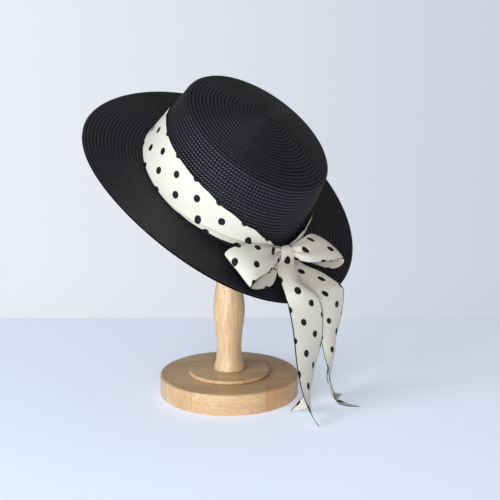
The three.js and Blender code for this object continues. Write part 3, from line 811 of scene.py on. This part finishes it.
def add(tree, kind, **settings):
    made = tree.nodes.new("ShaderNode" + kind)
    for key, value in settings.items():
        setattr(made, key, value)
    return made


def feed(tree, socket, value):
    if isinstance(value, bpy.types.NodeSocket):
        tree.links.new(value, socket)
    else:
        socket.default_value = value


def maths(tree, operation, *values):
    made = add(tree, "Math", operation=operation)
    for socket, value in zip(made.inputs, values):
        feed(tree, socket, value)
    return made.outputs[0]


def blend(tree, share, first, second):
    made = add(tree, "Mix", data_type="RGBA")
    feed(tree, made.inputs[0], share)
    feed(tree, made.inputs[6], first)
    feed(tree, made.inputs[7], second)
    return made.outputs[2]


def ramp(tree, value, low, high):
    """0 below low, 1 above high, smooth between."""
    made = add(tree, "MapRange", interpolation_type="SMOOTHSTEP")
    feed(tree, made.inputs[0], value)
    made.inputs[1].default_value = low
    made.inputs[2].default_value = high
    return made.outputs[0]


def noise(tree, vector, scale, detail=3.0, roughness=0.5):
    made = add(tree, "TexNoise")
    feed(tree, made.inputs["Vector"], vector)
    made.inputs["Scale"].default_value = scale
    made.inputs["Detail"].default_value = detail
    made.inputs["Roughness"].default_value = roughness
    return made.outputs["Fac"]


def stretched(tree, source, scale):
    made = add(tree, "Mapping")
    feed(tree, made.inputs["Vector"], source)
    made.inputs["Scale"].default_value = scale
    return made.outputs[0]


def bump(tree, shader, height, strength, distance):
    made = add(tree, "Bump")
    made.inputs["Strength"].default_value = strength
    made.inputs["Distance"].default_value = distance
    feed(tree, made.inputs["Height"], height)
    tree.links.new(made.outputs[0], shader.inputs["Normal"])


# %% Straw
ROW_SHIFT = 0.37  # shares of a crossing by which each row is shifted against the last
STRAND_SLANT = 0.9
ROW_EDGE, ROW_TOP = 0.48, 0.30  # in rows from a row's middle: its top fades out between them
GRAIN_SCALE, GRAIN_SHARE = 900, 0.5
STRAW_BUMP, STRAW_DEPTH = 0.9, 0.0006
# the dark colour is the braid's own dark between its strands, and also painted shade in the
# grooves between rows
STRAND_DARK_AND_GROOVE_SHADE, STRAND_LIGHT = (0.001, 0.001, 0.0015, 1), (0.014, 0.0135, 0.021, 1)
STRAND_GLOSS, LEAST_GLOSS = 0.55, 0.02


def straw_material():
    material, tree, shader = new_material("black straw braid")
    uv = add(tree, "UVMap", uv_map="weave").outputs[0]
    parts = add(tree, "SeparateXYZ")
    tree.links.new(uv, parts.inputs[0])
    along, rows = parts.outputs[0], parts.outputs[1]
    row = maths(tree, "FLOOR", rows)
    across = maths(tree, "ABSOLUTE", maths(tree, "SUBTRACT", maths(tree, "FRACT", rows), 0.5))
    shift = maths(tree, "MULTIPLY", row, ROW_SHIFT)
    phase = maths(tree, "ADD", along, shift)
    phase = maths(tree, "ADD", phase, maths(tree, "MULTIPLY", across, STRAND_SLANT))
    strand = maths(tree, "ABSOLUTE", maths(tree, "SINE", maths(tree, "MULTIPLY", phase, np.pi)))
    top_of_row = ramp(tree, across, ROW_EDGE, ROW_TOP)
    place = add(tree, "TexCoord").outputs["Object"]
    grain = noise(tree, place, GRAIN_SCALE, 2)
    height = maths(tree, "ADD", strand, maths(tree, "MULTIPLY", grain, GRAIN_SHARE))
    height = maths(tree, "ADD", height, top_of_row)
    bump(tree, shader, height, STRAW_BUMP, STRAW_DEPTH)
    # colour and gloss are lowest between the strands, the braid's own pattern, and in the grooves
    # between rows, where the dark colour and the low gloss are painted shade
    shade = maths(tree, "MULTIPLY", ramp(tree, strand, 0.05, 0.8), top_of_row)
    tint = blend(tree, shade, STRAND_DARK_AND_GROOVE_SHADE, STRAND_LIGHT)
    tree.links.new(tint, shader.inputs["Base Color"])
    gloss = maths(tree, "ADD", maths(tree, "MULTIPLY", shade, STRAND_GLOSS), LEAST_GLOSS)
    tree.links.new(gloss, shader.inputs["Specular IOR Level"])
    shader.inputs["Roughness"].default_value = 0.42
    return material


# %% Ribbon
DOT_PERIOD = 33.3
DOT_ROW = 15.0
DOT_RADIUS, DOT_BLUR = 3.75, 0.2
DOT_SLANT = 0.41
STITCH_EDGE, STITCH_BLUR = 0.95, 0.25
CLOUD_SCALE = 30
CLOTH_SHADE, CLOTH_PALE = (0.65, 0.62, 0.54, 1), (0.72, 0.695, 0.615, 1)
PRINT = (0.003, 0.003, 0.006, 1)
THREADS = 12.0  # radians to a millimetre: the weave repeats about every half millimetre
THREAD_BUMP, THREAD_DEPTH = 0.25, 0.0001


def ribbon_material(name, shift, slant):
    """Dots on a slanted lattice: row n lies 15 n mm across, and its dots are 33.3 mm apart,
    moved along by slant n periods. A dot is where the distance to the nearest centre is less
    than its radius. The ribbon's two edges carry a thin dark line of stitching."""
    material, tree, shader = new_material(name)
    uv = add(tree, "UVMap", uv_map="weave").outputs[0]
    parts = add(tree, "SeparateXYZ")
    tree.links.new(uv, parts.inputs[0])
    along, across = parts.outputs[0], parts.outputs[1]
    row = maths(tree, "ROUND", maths(tree, "DIVIDE", across, DOT_ROW))
    rise = maths(tree, "SUBTRACT", across, maths(tree, "MULTIPLY", row, DOT_ROW))
    periods = maths(tree, "DIVIDE", maths(tree, "SUBTRACT", along, shift), DOT_PERIOD)
    periods = maths(tree, "SUBTRACT", periods, maths(tree, "MULTIPLY", row, slant))
    nearest = maths(tree, "SUBTRACT", periods, maths(tree, "ROUND", periods))
    run = maths(tree, "MULTIPLY", nearest, DOT_PERIOD)
    run_squared = maths(tree, "MULTIPLY", run, run)
    rise_squared = maths(tree, "MULTIPLY", rise, rise)
    distance = maths(tree, "SQRT", maths(tree, "ADD", run_squared, rise_squared))
    bare = ramp(tree, distance, DOT_RADIUS - DOT_BLUR, DOT_RADIUS + DOT_BLUR)
    other_edge = maths(tree, "SUBTRACT", RIBBON_WIDTH, across)
    from_edge = maths(tree, "MINIMUM", across, other_edge)
    inner = ramp(tree, from_edge, STITCH_EDGE, STITCH_EDGE + STITCH_BLUR)
    pale = maths(tree, "MULTIPLY", bare, inner)
    place = add(tree, "TexCoord").outputs["Object"]
    cloud = noise(tree, place, CLOUD_SCALE, 2)
    cloth = blend(tree, cloud, CLOTH_SHADE, CLOTH_PALE)
    tint = blend(tree, pale, PRINT, cloth)
    tree.links.new(tint, shader.inputs["Base Color"])
    shader.inputs["Roughness"].default_value = 0.7
    shader.inputs["Specular IOR Level"].default_value = 0.3
    warp = maths(tree, "SINE", maths(tree, "MULTIPLY", along, THREADS))
    weft = maths(tree, "SINE", maths(tree, "MULTIPLY", across, THREADS))
    bump(tree, shader, maths(tree, "MULTIPLY", warp, weft), THREAD_BUMP, THREAD_DEPTH)
    return material


# %% Beech
BOARD_WIDTH, BOARD_LENGTH = 0.062, 0.078
BOARD_SIDE, BOARD_END = 0.021, -0.038
END_SHIFT = 0.37  # share of a length by which each strip's ends are shifted against the last
# set so that the front strip's length to the right is the darkest: partly the boards' own tone,
# partly painted shade of the base's right side
STRIP_TURN, LENGTH_TURN = 2.9, 1.1  # radians from one strip or length to the next one's shade
SEAM = 0.0004


def to_whole(tree, value):
    """Distance from the nearest whole number."""
    return maths(tree, "ABSOLUTE", maths(tree, "SUBTRACT", value, maths(tree, "ROUND", value)))


def board_tones_and_right_shade(tree, place):
    """The round plates are cut from a glued board: strips along X, each made of short lengths.
    Returns how dark each length is and where the glue lines are. The length to the right of
    the front strip is the darkest: partly the boards' own tone, partly painted shade."""
    parts = add(tree, "SeparateXYZ")
    tree.links.new(place, parts.inputs[0])
    side = maths(tree, "SUBTRACT", parts.outputs[1], BOARD_SIDE)
    strips = maths(tree, "DIVIDE", side, BOARD_WIDTH)
    strip_number = maths(tree, "FLOOR", strips)
    lengths = maths(tree, "SUBTRACT", parts.outputs[0], BOARD_END)
    lengths = maths(tree, "DIVIDE", lengths, BOARD_LENGTH)
    ends = maths(tree, "MULTIPLY", maths(tree, "ADD", strip_number, 2), END_SHIFT)
    lengths = maths(tree, "ADD", lengths, ends)
    turn = maths(tree, "MULTIPLY", strip_number, STRIP_TURN)
    further = maths(tree, "MULTIPLY", maths(tree, "FLOOR", lengths), LENGTH_TURN)
    turn = maths(tree, "ADD", turn, further)
    dark = maths(tree, "ABSOLUTE", maths(tree, "SINE", turn))
    to_side = maths(tree, "MULTIPLY", to_whole(tree, strips), BOARD_WIDTH)
    to_end = maths(tree, "MULTIPLY", to_whole(tree, lengths), BOARD_LENGTH)
    nearest = maths(tree, "MINIMUM", to_side, to_end)
    return dark, ramp(tree, nearest, SEAM, SEAM / 2)


FIBRES, BANDS = 700, 60  # fineness of the two noises
UPRIGHT_GRAIN = (1, 1, 0.06), (1, 1, 0.12)  # stretch of fibres and bands, drawn out along Z
FLAT_GRAIN = (0.06, 1, 1), (0.1, 1, 0.6)  # the same, drawn out along X
BAND_SHARE, BOARD_SHARE = 0.5, 0.5
FIBRE_SHARE, SEAM_SHARE = 0.45, 0.7
BEECH_PALE, BEECH_DARK = (0.70, 0.505, 0.30, 1), (0.48, 0.28, 0.125, 1)
BEECH_FIBRE = (0.36, 0.16, 0.06, 1)
FIBRE_BUMP, FIBRE_DEPTH = 0.1, 0.0003


def wood_material(name, upright):
    """Fibres are noise drawn out along the grain; growth bands are a slower noise across it."""
    material, tree, shader = new_material(name)
    place = add(tree, "TexCoord").outputs["Object"]
    fibre_scale, band_scale = UPRIGHT_GRAIN if upright else FLAT_GRAIN
    fibre = noise(tree, stretched(tree, place, fibre_scale), FIBRES, detail=4, roughness=0.6)
    band = noise(tree, stretched(tree, place, band_scale), BANDS, detail=3, roughness=0.55)
    depth = maths(tree, "MULTIPLY", ramp(tree, band, 0.3, 0.72), BAND_SHARE)
    streak = maths(tree, "MULTIPLY", ramp(tree, fibre, 0.35, 0.7), FIBRE_SHARE)
    if not upright:
        dark, seam = board_tones_and_right_shade(tree, place)
        depth = maths(tree, "ADD", depth, maths(tree, "MULTIPLY", dark, BOARD_SHARE))
        streak = maths(tree, "MAXIMUM", streak, maths(tree, "MULTIPLY", seam, SEAM_SHARE))
    tone = blend(tree, depth, BEECH_PALE, BEECH_DARK)
    tint = blend(tree, streak, tone, BEECH_FIBRE)
    tree.links.new(tint, shader.inputs["Base Color"])
    shader.inputs["Roughness"].default_value = 0.42
    shader.inputs["Coat Weight"].default_value = 0.25
    shader.inputs["Coat Roughness"].default_value = 0.25
    bump(tree, shader, fibre, FIBRE_BUMP, FIBRE_DEPTH)
    return material


# %% Dress the pieces
straw = straw_material()
for piece, node in ((crown, "crown"), (brim, "brim")):
    piece.data.materials.append(straw)
    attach(piece, "root")
    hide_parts(node)

RIBBONS = (  # piece, node, where its dots start along it, slant of the dots' lattice
    (band, "hat_band", 29.6, -0.375),
    (knot, "bow_knot", 8.0, DOT_SLANT),
    (loop_left, "bow_loop_left", 25.2, DOT_SLANT),
    (loop_right, "bow_loop_right", 32.0, -DOT_SLANT),
    (tail_front, "tail_front", 18.2, DOT_SLANT),
    (tail_back, "tail_back", 14.5, DOT_SLANT),
)
for piece, node, shift, slant in RIBBONS:
    piece.data.materials.append(ribbon_material("dotted ribbon of " + node, shift, slant))
    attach(piece, "root")
    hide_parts(node)

for piece, node in (
    (base, "stand_base"), (step, "stand_step"), (post, "stand_post"), (head, "stand_head")
):
    piece.data.materials.append(wood_material("beech of " + node, node == "stand_post"))
    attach(piece, "root")
    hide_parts(node)

# %% [markdown]
# ## The table and the light
# The stand is on a pale table that ends not far behind it. The table glows a little: painted
# light that brightens it and makes the shadows on it fainter. The wall beyond is far enough away
# to take no shadow, so it is drawn as a sheet that glows, a little less to the right and below.

# %% Table and wall
TABLE_FRONT, TABLE_BACK, TABLE_SIDE = -3.0, 0.29, 3.0
WALL_BACK, WALL_SIDE = 1.6, 3.0
TABLE_TINT = (0.74, 0.80, 0.93, 1)
TABLE_GLOW, TABLE_STRENGTH = (0.80, 0.88, 1.0, 1), 0.33
GLOW_LEFT, GLOW_RIGHT = -0.75, 0.85  # the wall's glow falls off between these places
GLOW_UPPER, GLOW_LOWER = -0.2, -0.6  # and between these heights, by a smaller share
LOWER_SHARE = 0.2
GLOW_BRIGHT, GLOW_DIM = (0.84, 0.85, 0.91, 1), (0.61, 0.64, 0.74, 1)


def staged_sheet(name, corners):
    mesh = bpy.data.meshes.new(name)
    mesh.from_pydata(corners, [], [(0, 1, 2, 3)])
    sheet = bpy.data.objects.new(name, mesh)
    bpy.context.collection.objects.link(sheet)
    return sheet


table = staged_sheet(
    "table",
    [
        (-TABLE_SIDE, TABLE_FRONT, 0),
        (TABLE_SIDE, TABLE_FRONT, 0),
        (TABLE_SIDE, TABLE_BACK, 0),
        (-TABLE_SIDE, TABLE_BACK, 0),
    ],
)
table_material, _, table_shader = new_material("pale table")
table_shader.inputs["Base Color"].default_value = TABLE_TINT
table_shader.inputs["Roughness"].default_value = 0.6
# the table's glow is painted light: it brightens the table and makes the shadows on it fainter
table_shader.inputs["Emission Color"].default_value = TABLE_GLOW
table_shader.inputs["Emission Strength"].default_value = TABLE_STRENGTH
table.data.materials.append(table_material)

wall = staged_sheet(
    "wall",
    [
        (-WALL_SIDE, WALL_BACK, -WALL_SIDE),
        (WALL_SIDE, WALL_BACK, -WALL_SIDE),
        (WALL_SIDE, WALL_BACK, WALL_SIDE),
        (-WALL_SIDE, WALL_BACK, WALL_SIDE),
    ],
)
wall.visible_diffuse = False
wall.visible_glossy = False
wall_material, wall_tree, wall_shader = new_material("pale wall")
wall_parts = add(wall_tree, "SeparateXYZ")
wall_tree.links.new(add(wall_tree, "TexCoord").outputs["Object"], wall_parts.inputs[0])
wall_side = ramp(wall_tree, wall_parts.outputs[0], GLOW_LEFT, GLOW_RIGHT)
wall_foot = ramp(wall_tree, wall_parts.outputs[2], GLOW_UPPER, GLOW_LOWER)
wall_foot = maths(wall_tree, "MULTIPLY", wall_foot, LOWER_SHARE)
wall_fall = maths(wall_tree, "ADD", wall_side, wall_foot)
wall_glow = blend(wall_tree, wall_fall, GLOW_BRIGHT, GLOW_DIM)
wall_tree.links.new(wall_glow, wall_shader.inputs["Emission Color"])
wall_shader.inputs["Emission Strength"].default_value = 1.0
wall_shader.inputs["Base Color"].default_value = (0.0, 0.0, 0.0, 1)
wall_shader.inputs["Specular IOR Level"].default_value = 0.0
wall.data.materials.append(wall_material)


# %% Lights
def area_light(name, place, aim, size, watts, tint):
    """A square lamp at a place, turned so that it shines at the aim."""
    lamp = bpy.data.lights.new(name, "AREA")
    lamp.size, lamp.energy, lamp.color = size, watts, tint
    holder = bpy.data.objects.new(name, lamp)
    holder.location = place
    direction = np.array(aim) - np.array(place)
    flat = np.hypot(direction[0], direction[1])
    holder.rotation_euler = (
        np.arctan2(flat, -direction[2]), 0, np.arctan2(direction[1], direction[0]) - np.pi / 2
    )
    bpy.context.collection.objects.link(holder)


area_light(
    "key", place=(-1.5, -1.3, 0.8), aim=(0, 0, 0.15), size=1.1, watts=30, tint=(0.82, 0.93, 1.0)
)
area_light(
    "fill", place=(-0.2, -2.4, 0.35), aim=(0, 0, 0.1), size=1.3, watts=48, tint=(1.0, 0.975, 0.95)
)

SKY_TINT, SKY_STRENGTH = (0.90, 0.90, 0.92, 1), 0.33
world = bpy.data.worlds.new("sky")
world.use_nodes = True
world.node_tree.nodes["Background"].inputs[0].default_value = SKY_TINT
world.node_tree.nodes["Background"].inputs[1].default_value = SKY_STRENGTH
bpy.context.scene.world = world
bpy.context.scene.view_settings.view_transform = "Standard"
